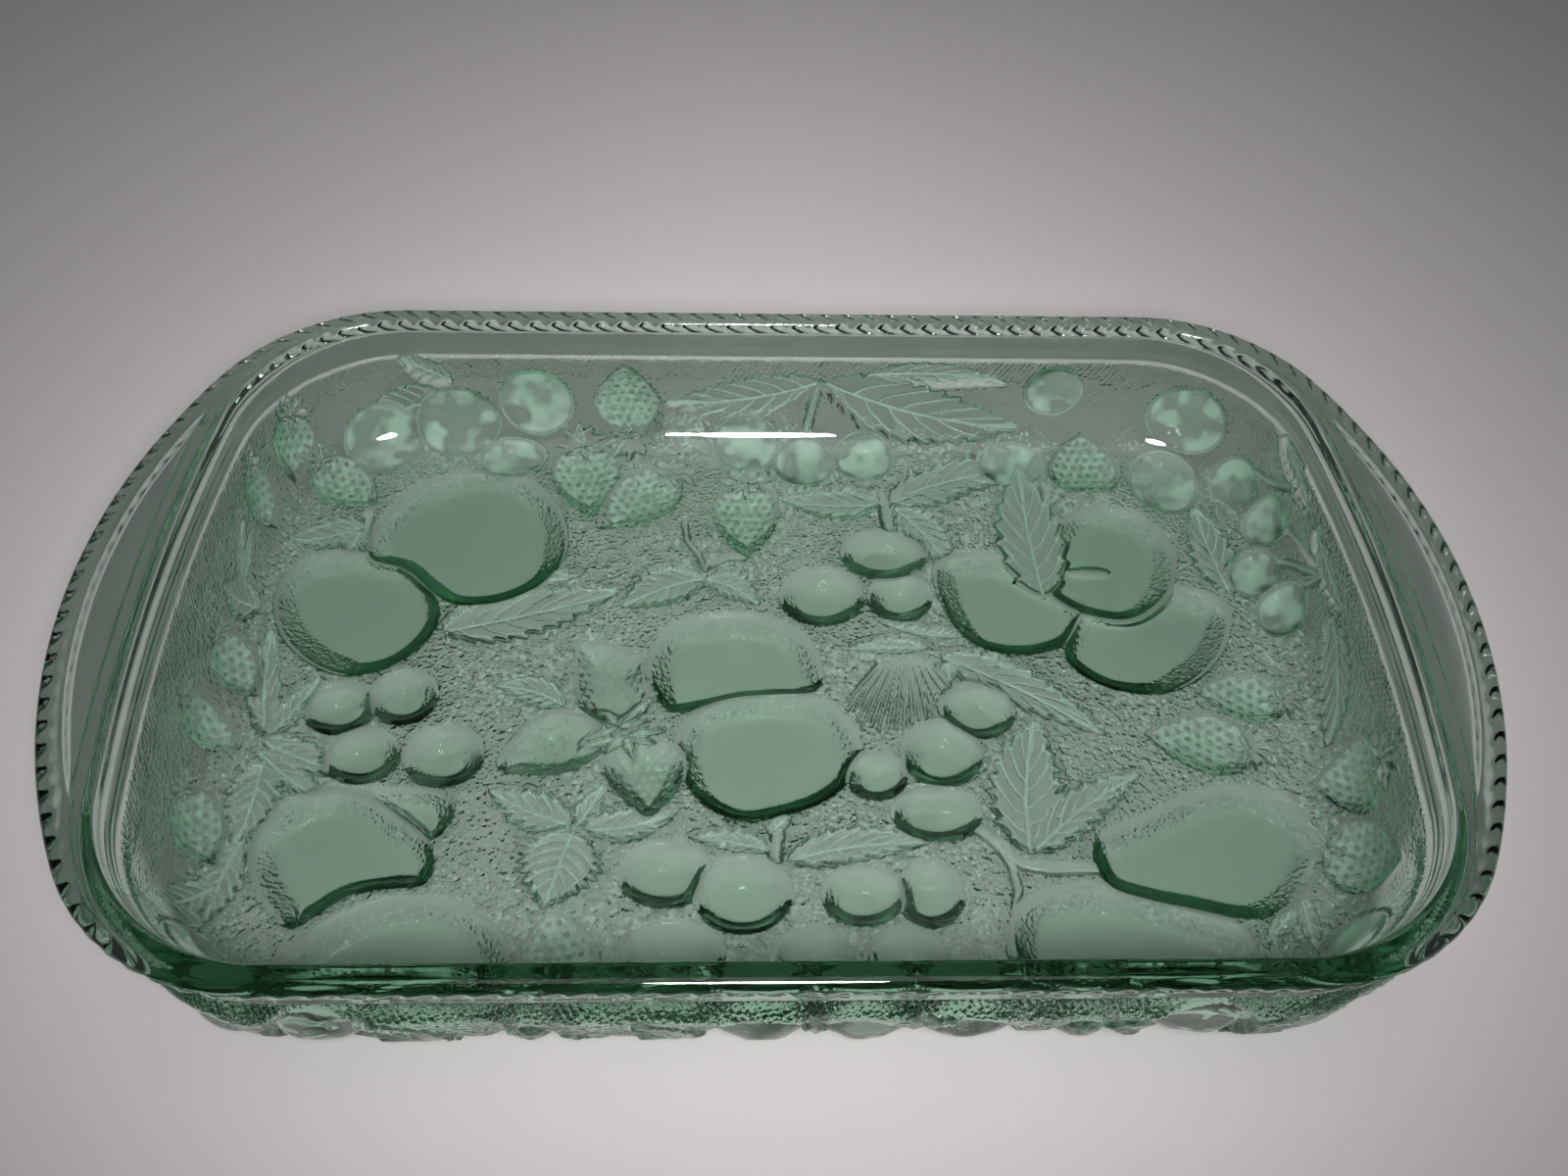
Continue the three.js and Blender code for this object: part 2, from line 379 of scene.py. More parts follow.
    def cap(self, x, y, size, tip):
        """The small leaves on a strawberry's blunt end: five on the ground, three on the fruit."""
        for turn in (105, 145, 180, 215, 255):
            angle = math.radians(tip + turn)
            end = (x + size * math.cos(angle), y + size * math.sin(angle))
            self.leaf((x, y), end, 0.22 * size, bend=0.1 * size, teeth=0, veins=0)
        for turn in (-70, 0, 70):
            angle = math.radians(tip + turn)
            end = (x + 0.7 * size * math.cos(angle), y + 0.7 * size * math.sin(angle))
            self.leaf((x, y), end, 0.13 * size, level=CAP_LEVEL, teeth=0, veins=0)

    def sepals(self, x, y, points):
        """A star of long thin leaves from one middle, lying over the fruit."""
        for end in points:
            self.leaf((x, y), end, 1.5, level=SEPAL_LEVEL, teeth=0, veins=0)

    def dent(self, x, y, half_length, half_width, depth):
        """A soft hollow, as where a stalk was."""
        gap = ((self.x - x) / half_length) ** 2 + ((self.y - y) / half_width) ** 2
        self.height -= depth * np.clip(1 - gap, 0, 1) ** 0.7

    def ridge(self, points, width, height=STEM_HEIGHT, taper=0.0):
        """A stem or needle along a line of points, wherever it is above what is there."""
        line = np.asarray(points, float)
        at = self.near(line)
        gap, along, _ = segment_gap(self.x[at], self.y[at], line)
        wide = 1.6 * width * (1 - taper * along)
        new = height * np.clip(1 - (gap / wide) ** 2, 0, 1)
        old = self.height[at]
        self.height[at] = np.where(gap < wide, np.maximum(old, new), old)
        self.grain[at] *= np.where(gap < wide, 0.2, 1)
        # Painted highlight: a whiter line along the top of the stem.
        pale = 0.35 * np.exp(-((gap / (0.45 * wide)) ** 2))
        self.painted_highlight[at] = np.where(gap < wide, pale, self.painted_highlight[at])

    def leaf(self, base, tip, half_width, bend=0.0, teeth=9, veins=6, height=1.5, level=None):
        """A leaf from base to tip. With a level, it lies over the fruit at that height."""
        base, tip = np.array(base, float), np.array(tip, float)
        axis = tip - base
        length = float(np.hypot(*axis))
        side = np.array([-axis[1], axis[0]]) / length

        def middle(s):
            return base + np.outer(s, axis) + np.outer(4 * bend * s * (1 - s), side)

        def half(s):
            return half_width * np.sin(math.pi * np.clip(s, 0, 1) ** 0.75) ** 0.8

        s = np.linspace(0, 1, 5 * max(teeth, 4) + 1)
        tooth = 1 + 0.26 * ((s * teeth) % 1 - 0.5) * (teeth > 0)
        left = middle(s) + side * (half(s) * tooth)[:, None]
        right = middle(s) - side * (half(s) * tooth)[:, None]
        outline = np.concatenate([left, right[-2:0:-1]])
        at = self.near(outline)
        x, y, old = self.x[at], self.y[at], self.height[at]
        depth, outward = depth_inside(x, y, outline)
        slope = 1.9 * smooth(0.1, -0.5, outward[1])
        blade = height * smooth(-0.35, 0.75 + slope, depth)
        veins_at = self._veins(x, y, middle, half, side, veins)
        blade += 0.45 * veins_at * smooth(-0.2, 0.8, depth) - 0.25 * smooth(0.8, 3.5, depth)
        if level is None:
            old = old - 0.5 * np.exp(-(((depth + 0.55) / 0.35) ** 2)) * (old < 1)
            over = mix(old, blade, smooth(-0.4, 0.2, depth))
            self.height[at] = np.where(old > blade, old, over)
        else:
            lifted = level - 0.6 + 0.55 * (blade - height)
            share = smooth(-0.5, 0.6, depth)
            trench = 1 - 0.3 * np.exp(-((depth / 0.7) ** 2)) * (old > 1)
            self.height[at] = mix(old, np.maximum(lifted, 0), share) * trench
        self.grain[at] = np.where(depth > 0, 0.25, self.grain[at])
        # Painted highlight: whiter veins and a bright line just inside the leaf's edge.
        rim = 0.8 * np.exp(-(((depth - 0.6 - 1.15 * slope) / 0.25) ** 2))
        pale = np.maximum(0.9 * veins_at**1.5 * smooth(0, 0.6, depth), rim)
        self.painted_highlight[at] = np.where(depth > 0, pale, self.painted_highlight[at])

    @staticmethod
    def _veins(x, y, middle, half, side, count):
        """1 on a leaf's midrib and on count pairs of side veins, falling to 0 beside them."""
        if not count:
            return np.zeros(x.shape)
        lines = [middle(np.linspace(0, 0.97, 9))]
        for k in range(count):
            for sign in (-1, 1):
                start = 0.06 + 0.74 * (k + 0.5 + 0.25 * sign) / count
                end = min(start + 0.26, 0.98)
                steps = np.linspace(0, 1, 5)
                spread = sign * half(np.array([end])) * 0.94 * steps**0.8
                run = middle(mix(start, end, steps**1.25))
                lines.append(run + np.outer(spread, side))
        best = np.zeros(x.shape)
        for index, line in enumerate(lines):
            gap, _, _ = segment_gap(x, y, line)
            width = 0.65 if index == 0 else 0.45
            best = np.maximum(best, np.exp(-((gap / width) ** 2)) * (1 if index == 0 else 0.85))
        return best


# ---------------------------------------------------------------- the fruit pattern

# Up the wall from the edge of the floor: where the smooth band under the rim starts, and how far
# below it the fringe reaches. The strokes of the fringe are this far apart.
BAND_FROM = 45.2
FRINGE = 11.0
STROKE_PITCH = 1.9


def draw_ground(r, out):
    """The bark-like ground, the fringe of slanted strokes at the top of the walls, and the
    thicker bank of the front wall that its fruit grows out of.
    """
    x, y = r.x, r.y
    dots = pebbles(x, y, 1.9, 1.9, 1)
    bark = pebbles(x, y, 1.5, 3.6, 5)
    upright = smooth(10, 26, y) * smooth(108, 92, np.abs(x)) * smooth(100, 80, y)
    patches = 0.55 + 0.9 * value_noise(x, y, 26, 9)
    texture = mix(dots, bark, upright) * patches * mix(1, 0.5, smooth(6, 30, out))
    r.height += 0.37 * (texture - 0.35)
    # Painted highlight: whiter specks on the highest grains of the ground.
    r.painted_highlight += 0.8 * smooth(0.5, 0.95, texture) * (0.3 + 0.7 * value_noise(x, y, 2.6, 18))
    lean = floor_line.along(x, y, BAND_FROM - FRINGE / 2) - 0.6 * out
    lean += 1.5 * value_noise(x, y, 9, 12)
    stroke = np.abs((lean / STROKE_PITCH) % 1 - 0.5)
    ragged = 5 * value_noise(x, y, 2.4, 14) + 4 * value_noise(x, y, 17, 15)
    start = BAND_FROM - FRINGE + ragged
    r.height -= 0.9 * smooth(start - 2, start, out) * smooth(0.34, 0.1, stroke)
    bank = smooth(6, 15, out) * smooth(44, 38, out) * smooth(-60, -88, y)
    r.height += bank * (2.6 + 1.6 * value_noise(x, y, 13, 17))
    r.grain *= mix(1, 0.6, smooth(6, 30, out))


def draw_band(r, out):
    """The smooth band with two fine lines under the rim, above everything else."""
    band = smooth(BAND_FROM - 0.6, BAND_FROM + 0.3, out)
    lines = sum(np.exp(-(((out - BAND_FROM - rise) / 0.45) ** 2)) for rise in (1.6, 3.4))
    r.height = mix(r.height, 0.55 + 0.25 * lines, band)
    r.grain *= 1 - band
    # No painted highlight on the band, and little of it on the front wall.
    r.painted_highlight *= (1 - band) * mix(0.15, 1, smooth(-94, -82, r.y))


# Stems: the points of each, and its width.
STEMS = [
    ([(-22, 44), (-24, 50), (-28, 56), (-29, 64)], 0.9), ([(-20, 46), (-15, 49), (-10, 49)], 1.0),
    ([(37, 72), (37, 66), (38, 60)], 1.7),
    ([(50, -46), (56, -49), (60, -53), (63, -59), (64, -66), (62, -75), (60, -84)], 1.1),
    ([(62, -56), (66, -59), (74, -60.5), (88, -60)], 1.2), ([(0, -46), (-1, -53), (-2, -61)], 1.6),
    ([(149, -58), (142, -66), (141, -74)], 1.3), ([(-131, 66), (-131, 56), (-130, 42)], 1.4),
    ([(11, 101), (13, 111), (15, 122)], 1.3), ([(-6, 108), (2, 115), (14, 122)], 1.1),
    ([(31, 104), (25, 115), (16, 122)], 1.1), ([(163, 44), (170, 38), (178, 29)], 1.1),
    ([(168, 31), (174, 29), (180, 27)], 1.1), ([(171, 52), (175, 44), (179, 32)], 1.1),
    ([(166, 79), (174, 68), (180, 62)], 1.1), ([(-8, -86), (0, -105), (4, -123)], 1.2),
    ([(96, -86), (100, -99), (104, -109)], 1.3),
]

# Leaves behind the fruit: base, tip, half width, bend, teeth.
LEAVES = [
    ((-102, 20), (-48, 36), 9.5, -1, 11), ((-94, 33), (-60, 42), 5, 1, 8),
    ((-22, 41), (-48, 29), 8, -2, 9), ((-22, 41), (-5, 30), 6, 2, 7), ((36, 73), (1, 75), 7, 2, 10),
    ((38, 73), (73, 82), 8, 2, 9), ((40, 71), (57, 43), 7.5, 2, 9), ((145, 34), (141, 72), 8, 1, 8),
    ((47, 14), (20, 13), 3.4, -1, 6), ((58, 18), (31, 24), 2.2, 1, 0),
    ((50, 11), (96, -18), 7.5, 2, 10), ((52, 9), (52, 1), 3, 0, 0),
    ((69, -56), (76, -12), 11, 2, 9), ((70, -55), (104, -30), 6.5, 2, 9),
    ((-57, -46), (-81, -35), 6.5, 1, 6), ((-56, -47), (-49, -33), 3.5, 0, 4),
    ((-54, -47), (-27, -41), 5.5, -2, 7), ((-57, -48), (-63, -71), 11.5, 0, 9),
    ((-62, -7), (-84, 0), 5.5, -2, 6), ((-2, -54), (-25, -50), 3.6, -1, 6),
    ((2, -57), (42, -52), 6, 2, 9), ((-3, -49), (4, -42), 2.4, 0, 3),
    ((141, -67), (127, -82), 3, 1, 4), ((141, -68), (141, -86), 3, 0, 4),
    ((-132, 62), (-156, 55), 6.5, 1, 6), ((-133, 60), (-136, 50), 5, 0, 4),
    ((-168, 32), (-177, 50), 3.2, 1, 4), ((-167, 31), (-171, 51), 2.6, 0, 4),
    ((-158, 27), (-176, 26), 7.5, 0, 6), ((-147, -18), (-153, 21), 5, 1, 6),
    ((-147, -18), (-135, 4), 4.5, -1, 6), ((-147, -19), (-118, -30), 5.5, -1, 6),
    ((-148, -22), (-120, -42), 4, -1, 5), ((-146, -26), (-148, -54), 8, 1, 7),
    ((-146, -50), (-150, -76), 7, -1, 7), ((-150, -64), (-170, -80), 6, 1, 7),
    ((-110, 117), (-142, 107), 9, 2, 8), ((-106, 121), (-126, 131), 5, -1, 6),
    ((15, 122), (-37, 114), 9, 3, 11), ((17, 122), (85, 105), 12, -4, 12),
    ((30, 125), (78, 123), 5, 2, 9), ((44, 77), (92, 88), 8, 3, 9),
    ((178, 14), (160, -24), 8, 2, 9), ((184, 42), (183, 6), 4.5, -1, 9),
    ((185, 82), (184, 46), 4.5, 1, 9), ((150, -78), (180, -84), 8, -3, 8),
    ((-150, -76), (-178, -84), 8, 2, 8), ((-30, -96), (-66, -122), 9, -5, 9),
    ((-24, -98), (-36, -126), 9, 3, 8), ((60, -96), (86, -126), 10, 3, 8),
    ((58, -98), (30, -127), 8, 3, 8), ((-82, -98), (-100, -128), 9, 3, 8),
    ((110, -97), (122, -127), 9, -3, 8), ((4, -94), (6, -127), 7, 2, 7),
    ((-124, -90), (-124, -124), 9, 2, 8), ((150, -98), (158, -112), 6, 2, 7),
]

# A leaf over the apple, at its own level.
OVER_APPLE = ((85, 34), (84, 90), 11, 1, 7)
OVER_APPLE_LEVEL = 3.6

# Fruit outlines that no oval fits, each a smooth curve through these points.
PEACH_A = [(-128, 48), (-129, 60), (-122, 75), (-110, 84), (-95, 87), (-79, 81), (-69, 68),
           (-66, 52), (-72, 39), (-85, 31), (-99, 30), (-108, 36), (-117, 44)]
PEACH_B = [(-154, 40), (-155, 30), (-150, 18), (-140, 8), (-128, 3), (-116, 6), (-107, 14),
           (-103, 24), (-106, 34), (-114, 44), (-125, 50), (-140, 51), (-149, 48)]
MIDDLE_TOP = [(-39, 6), (-36, 18), (-27, 25), (-12, 27), (2, 24), (11, 16), (14, 6), (12, -2),
              (0, -7), (-18, -8), (-32, -9)]
MIDDLE_LOW = [(-30, -22), (-27, -12), (-19, -5), (-8, -2), (8, -2), (18, -8), (24, -18), (22, -30),
              (13, -39), (0, -44), (-12, -45), (-24, -37)]
APPLE_TOP = [(85, 38), (88, 54), (96, 67), (108, 72), (121, 68), (129, 57), (129, 43), (121, 30),
             (109, 24), (94, 28)]
APPLE_LEFT = [(50, 40), (53, 49), (64, 52), (78, 50), (90, 45), (97, 34), (96, 22), (88, 14),
              (75, 11), (62, 14), (54, 24)]
APPLE_RIGHT = [(88, 12), (92, 4), (102, -2), (117, -3), (130, 4), (139, 15), (143, 27), (138, 34),
               (126, 38), (108, 34), (95, 26)]
PLUM = [(-125, -34), (-113, -36), (-104, -42), (-97, -48), (-93, -57), (-95, -64), (-104, -65),
        (-114, -67), (-121, -72), (-127, -76), (-135, -71), (-142, -60), (-143, -50), (-137, -39)]
PLUM_LOW = [(-128, -84), (-118, -73), (-104, -67), (-90, -67), (-78, -72), (-70, -82), (-73, -95),
            (-90, -102), (-110, -101), (-124, -94)]
PEAR = [(86, -57), (89, -49), (100, -44), (115, -37), (130, -34), (144, -38), (150, -49),
        (148, -61), (139, -71), (126, -75), (111, -72), (98, -69), (89, -65)]
PEAR_LOW = [(60, -78), (66, -68), (80, -64), (94, -66), (108, -70), (122, -77), (127, -88),
            (118, -98), (98, -103), (76, -101), (64, -92)]

# The hollow of the apple's stalk: centre, half length, half width, depth.
APPLE_DENT = (101, 45, 7.5, 2.2, 2.4)

# A narrow fruit behind the plum.
SLIVER = [(-118, -34), (-108, -34), (-96, -35), (-90, -40), (-91, -47), (-96, -51), (-104, -46),
          (-112, -41)]

# In drawing order, each with the way that its soft side faces, in degrees.
FRUIT = [
    (PEACH_B, 170), (PEACH_A, 80), (MIDDLE_TOP, 100), (MIDDLE_LOW, 100), (APPLE_LEFT, 100),
    (APPLE_RIGHT, 30), (APPLE_TOP, 60), (SLIVER, 90), (PLUM_LOW, 90), (PLUM, 140), (PEAR_LOW, 90),
    (PEAR, 35),
]

# Round fruit: centre, half length, half width, tilt.
GRAPES = [
    (-127, -8, 10.5, 9.5, 0), (-109, -4, 10, 10, 0), (-118, -24, 11, 9.5, 0),
    (-95, -24, 11.5, 10.5, 0), (14.5, 33.5, 13.5, 11.5, 0), (39, 33, 10.5, 9.5, 0),
    (35, 50.5, 14, 10, 0), (28, -31, 9, 8, 0), (59, -9, 11.5, 10, 0), (47, -23.5, 12, 11.5, 0),
    (44, -43, 13, 9, 0), (-28, -84, 14, 10, 0), (8, -85, 11, 9, 0), (32, -85, 11, 9, 0),
    (-31, -61, 13, 10, 0), (-10, -67, 13.5, 11.5, 0), (40, -67, 9.5, 10, 0),
    (22, -67.5, 11.5, 9, 0),
]
CHERRIES = [
    (-88, 92, 12, 8.5, 5), (-79, 114, 12.5, 13, 0), (-132, 99, 14, 13.5, 0),
    (-106, 106, 14.5, 14, 0), (-9, 98, 11.5, 12, 0), (31, 93, 10.5, 10.5, 0),
    (10.5, 90.5, 10.5, 11, 0), (81, 90, 12, 10, 0), (94, 120, 10, 10, 0), (132, 82, 12, 14, 0),
    (145, 106, 17, 13, -25), (157, 79, 10, 9.5, 0), (165, 59, 11, 9, 0), (154, 42, 10, 8.5, 45),
    (160, 26, 10.5, 9, 35), (19, -107, 13, 13, 0), (44, -109, 13, 13, 0), (-6, -109, 13, 13, 0),
    (99, -117, 12.5, 11.5, 0), (-110, -117, 12.5, 11.5, 0), (-136, -104, 12, 11.5, 0),
    (-154, -91, 11, 11.5, 0), (154, -90, 11, 12, 0),
]

# Strawberries: centre, length, width, the way the tip faces. The bare one has no leaf cap.
BERRIES = [
    (-62, 82, 32, 23, -82), (-45, 73, 34, 22, -135), (-9, 65, 32, 22, -90), (139, -4, 27, 18, 172),
    (123, -20, 31, 21, 170), (-58, -84, 27, 22, 100), (-49, 114, 30, 24, 90),
    (-164, 87, 24, 21, -60), (-141, 79, 27, 19, -35), (-171, 62, 24, 16, -25),
    (-161, 4, 25, 17, -40), (-165, -18, 26, 15, -15), (-159, -49, 25, 18, -50),
    (166, -37, 26, 23, 170), (163, -62, 30, 23, -35), (-62, -105, 28, 20, -80),
    (72, -107, 28, 20, -100), (136, -99, 26, 20, -60),
]

BARE_BERRY = (106, 90, 26, 25, 90)

# The cluster of flat strawberries left of the middle: the way the tip faces, and the outline.
FLAT_BERRIES = [
    (100, [(-61, 10), (-60, 15), (-54, 16), (-45, 13), (-40, 10), (-39, 3), (-37, -5), (-41, -12),
           (-49, -14), (-57, -9), (-60, 0)]),
    (195, [(-80, -26), (-77, -19), (-71, -11), (-62, -9), (-53, -12), (-49, -18), (-52, -25),
           (-61, -30), (-72, -30), (-78, -29)]),
    (-86, [(-51, -26), (-47, -20), (-40, -18), (-31, -20), (-26, -25), (-28, -34), (-33, -42),
           (-37, -44), (-42, -40), (-48, -33)]),
]
SEPALS = [
    (-46, -14, [(-57, -19), (-51, -8), (-41, -8), (-36, -3), (-38, -12)]),
    (-44, -17, [(-57, -21), (-35, -20), (-32, -15), (-41, -26), (-50, -23)]),
]


def draw_needles(r):
    """The tuft of needles left of the grapes: a fan, with the needles of uneven length."""
    count = 19
    lengths = 5 * np.random.default_rng(8).random(count)
    for k in range(count):
        share = k / (count - 1)
        angle = math.radians(mix(-128, -62, share))
        start = (mix(31, 47, share), 9 - 3 * abs(share - 0.5))
        reach = 15 + lengths[k] + 9 * math.sin(math.pi * share)
        end = (start[0] + reach * math.cos(angle), start[1] + reach * math.sin(angle))
        middle = ((start[0] + end[0]) / 2 + 1.2 * (share - 0.3), (start[1] + end[1]) / 2)
        r.ridge([start, middle, end], 0.75, 2.6 - 0.8 * (k % 2), taper=0.6)


def draw_pattern(x, y):
    """The whole relief on the folded-down plan: its height, its grain and its painted highlight."""
    r = Relief(x, y)
    out = floor_line.distance(x, y)
    draw_ground(r, out)
    for points, width in STEMS:
        r.ridge(points, width)
    for leaf in LEAVES:
        in_front = leaf[0][1] < FRONT
        r.leaf(*leaf, height=FRONT_LEAF_HEIGHT if in_front else LEAF_HEIGHT)
    draw_needles(r)
    for outline, soft in FRUIT:
        r.fruit(closed_curve(outline), RELIEF, soft=soft)
    r.dent(*APPLE_DENT)
    for spot in GRAPES:
        r.fruit(oval(*spot), GRAPE_HEIGHT, stipple=0.3)
    for spot in CHERRIES:
        r.cherry(*spot, FRONT_CHERRY_HEIGHT if spot[1] <= FRONT else CHERRY_HEIGHT)
    for spot in BERRIES:
        r.berry(*spot)
    for tip, outline in FLAT_BERRIES:
        x0, y0 = np.mean(outline, 0)
        r.berry(x0, y0, 0, 0, tip, FLAT_BERRY_HEIGHT, calyx=False, outline=outline)
    for star in SEPALS:
        r.sepals(*star)
    r.berry(*BARE_BERRY, calyx=False)
    r.leaf(*OVER_APPLE, level=OVER_APPLE_LEVEL)
    draw_band(r, out)
    height = np.clip(r.height, -DEEPEST_CUT, RELIEF - CLEAR)
    return height, np.clip(r.grain, 0, 1), np.clip(r.painted_highlight, 0, 1)


# ---------------------------------------------------------------- the skin of the dish

def flat_ring(points, z):
    """Plan points with a height, or heights, as points in space."""
    return np.column_stack([points, np.broadcast_to(z, len(points))])


def spine(points):
    """The line along the middle of the dish that the floor's rings shrink to."""
    half = floor_line.a - floor_line.b
    return np.column_stack([np.clip(points[:, 0], -half, half), np.zeros(len(points))])


def inside_rings(base, outward):
    """The well: smooth floor, fillet, drafted wall and the round at the top of it."""
    rings = [flat_ring(mix(spine(base), base, f), WELL_FLOOR) for f in np.linspace(0, 1, 12)]
    for angle in np.linspace(0, TURN, 14)[1:]:
        run, rise = WELL_FILLET * math.sin(angle), WELL_FILLET * math.cos(angle)
        rings.append(flat_ring(base + outward * run, FILLET_CENTRE - rise))
    for z in np.linspace(WELL_FILLET_TOP, HEIGHT - LIP_ROUND, 12)[1:]:
        run = WALL_RUN - (HEIGHT - z) * math.tan(DRAFT)
        rings.append(flat_ring(base + outward * run, z))
    start = WALL_RUN - LIP_ROUND * math.tan(DRAFT)
    for angle in np.linspace(0, math.pi / 2, 6)[1:]:
        run = start + LIP_ROUND * (1 - math.cos(angle))
        rings.append(flat_ring(base + outward * run, HEIGHT - LIP_ROUND * (1 - math.sin(angle))))
    return rings


BEAD_RADIUS = 3.1
ROPE_PITCH = 7.0
ROPE_DEPTH = 1.4
ROPE_LEAN = 1.6
PANEL_BORDER = 7.6


def flange_drop(x, y):
    """How far the top of the flange lies below the rim: not at all, but for the handles' panels."""
    from_well, from_edge = rim_line.distance(x, y), -edge_line.distance(x, y)
    widening = (from_well + from_edge - SIDE_FLANGE) / (HANDLE_FLANGE - SIDE_FLANGE)
    handle = smooth(0.1, 0.5, widening)
    shoulder = smooth(4.2, 8.2, from_well)
    panel = smooth(5.0, 8.6, from_well) * smooth(PANEL_BORDER - 0.5, PANEL_BORDER + 0.9, from_edge)
    line = np.exp(-(((from_edge - PANEL_BORDER) / 0.5) ** 2)) * smooth(5, 8, from_well)
    return handle * (BORDER_SINK * shoulder + (PANEL_SINK - BORDER_SINK) * panel - 0.45 * line)


def flange_rings(start, edge, edge_out):
    """The top of the flange and the rope bead round its edge."""
    stop = edge - edge_out * BEAD_RADIUS
    rings = []
    for f in np.linspace(0, 1, 38)[1:]:
        points = mix(start, stop, f)
        rings.append(flat_ring(points, HEIGHT - flange_drop(points[:, 0], points[:, 1])))
    top = rings[-1][:, 2]
    steps = np.hypot(*(np.roll(edge, -1, 0) - edge).T)
    along = np.concatenate([[0], np.cumsum(steps)])
    twists = round(along[-1] / ROPE_PITCH)
    phase = math.pi * twists * along[:-1] / along[-1]
    for angle in np.linspace(0, math.pi, 20)[1:]:
        depth = ROPE_DEPTH * smooth(1.2, 1.75, angle) * smooth(math.pi + 0.1, 2.6, angle)
        groove = (1 - np.abs(np.cos(phase + ROPE_LEAN * angle))) ** 1.4
        radius = BEAD_RADIUS - depth * groove
        points = stop + edge_out * (radius * math.sin(angle))[:, None]
        rings.append(flat_ring(points, top - BEAD_RADIUS + radius * math.cos(angle)))
    return rings


def wall_point(base, outward, t, height):
    """A point on the outside at a distance t up the folded-down wall, raised by the relief."""
    angle = min(t, FILLET_ARC) / GROUND_FILLET
    slope = max(t - FILLET_ARC, 0)
    run = (GROUND_FILLET + height) * math.sin(angle) + slope * math.sin(DRAFT)
    z = FILLET_CENTRE - (GROUND_FILLET + height) * math.cos(angle) + slope * math.cos(DRAFT)
    return flat_ring(base + outward * run[:, None], z)


WALL_TOP = FILLET_ARC + (45.5 - FILLET_CENTRE + GROUND_FILLET * math.cos(TURN)) / math.cos(DRAFT)


def under_flange_rings(last, base, outward, edge, root):
    """The underside of the flange, and the fillet where it meets the outside wall."""
    width = np.hypot(*(edge - base - outward * WALL_RUN).T)
    widening = np.clip((width - SIDE_FLANGE) / (HANDLE_FLANGE - SIDE_FLANGE), 0, 1)
    fillet = mix(0.4, 3.0, widening)
    corner = root[:, :2] + outward * fillet[:, None]
    under = HEIGHT - 2 * BEAD_RADIUS - 0.3 - BORDER_SINK * smooth(0.1, 0.5, widening)
    rings = []
    for f in np.linspace(0, 1, 12)[1:]:
        ring = flat_ring(mix(last[:, :2], corner, f), mix(last[:, 2], under, f))
        rings.append(ring)
    for angle in np.linspace(0, math.pi / 2, 6)[1:]:
        points = root[:, :2] + outward * (fillet * (1 - math.sin(angle)))[:, None]
        rings.append(flat_ring(points, under - fillet * (1 - math.cos(angle))))
    foot = rings[-1]
    for f in (0.35, 0.7):
        rings.append(mix(foot, root, f))
    return rings


def outside_rings(base, outward):
    """The outside wall and underside with their relief, from the flange to the middle."""
    heights = np.arange(WALL_TOP, 0, -RELIEF_STEP)
    middle = spine(base)
    count = math.ceil(floor_line.b / RELIEF_STEP)
    shares = np.linspace(1, 0, count + 1)
    plan = [base + outward * t for t in heights] + [mix(middle, base, f) for f in shares]
    plan = np.array(plan)
    height, grain, painted_highlight = draw_pattern(plan[..., 0], plan[..., 1])
    rings = [wall_point(base, outward, t, h) for t, h in zip(heights, height)]
    floor = zip(plan[len(heights):], height[len(heights):])
    rings += [flat_ring(points, RELIEF - h) for points, h in floor]
    return rings, {"grain": grain, "painted_highlight": painted_highlight}


def skin_faces(ring_count, ring_size):
    """Quads between each ring and the next, facing out."""
    here = np.arange(ring_size)
    after = np.roll(here, -1)
    first = (np.arange(ring_count - 1) * ring_size)[:, None]
    quads = np.stack([here + first, here + first + ring_size, after + first + ring_size,
                      after + first], -1)
    return quads.reshape(-1, 4)


def weld(points, faces):
    """Joins points that coincide along the spine, and makes triangles of quads that close up."""
    keys = np.round(points * 1e4).astype(np.int64)
    _, first, inverse = np.unique(keys, axis=0, return_index=True, return_inverse=True)
    order = np.sort(first)
    rank = np.empty(len(points), np.int64)
    rank[order] = np.arange(len(order))
    merged = rank[first[inverse.ravel()]]
    faces = merged[faces]
    repeats = faces == np.roll(faces, -1, 1)
    quads = faces[~repeats.any(1)]
    closed = faces[repeats.sum(1) == 1]
    triangles = closed[~(closed == np.roll(closed, -1, 1))].reshape(-1, 3)
    return order, quads, triangles


def make_piece(name, points, quads, triangles, material):
    """A smooth-shaded mesh object, in metres."""
    mesh = bpy.data.meshes.new(name)
    mesh.vertices.add(len(points))
    mesh.vertices.foreach_set("co", (points * MM).astype(np.float32).ravel())
    corners = np.concatenate([quads.ravel(), triangles.ravel()]).astype(np.int32)
    mesh.loops.add(len(corners))
    mesh.loops.foreach_set("vertex_index", corners)
    sizes = np.concatenate([np.full(len(quads), 4), np.full(len(triangles), 3)])
    starts = np.concatenate([[0], np.cumsum(sizes)[:-1]])
    mesh.polygons.add(len(sizes))
    mesh.polygons.foreach_set("loop_start", starts.astype(np.int32))
    mesh.polygons.foreach_set("use_smooth", np.ones(len(sizes), bool))
    mesh.update(calc_edges=True)
    mesh.validate()
    mesh.materials.append(material)
    piece = bpy.data.objects.new(name, mesh)
    bpy.context.scene.collection.objects.link(piece)
    return piece


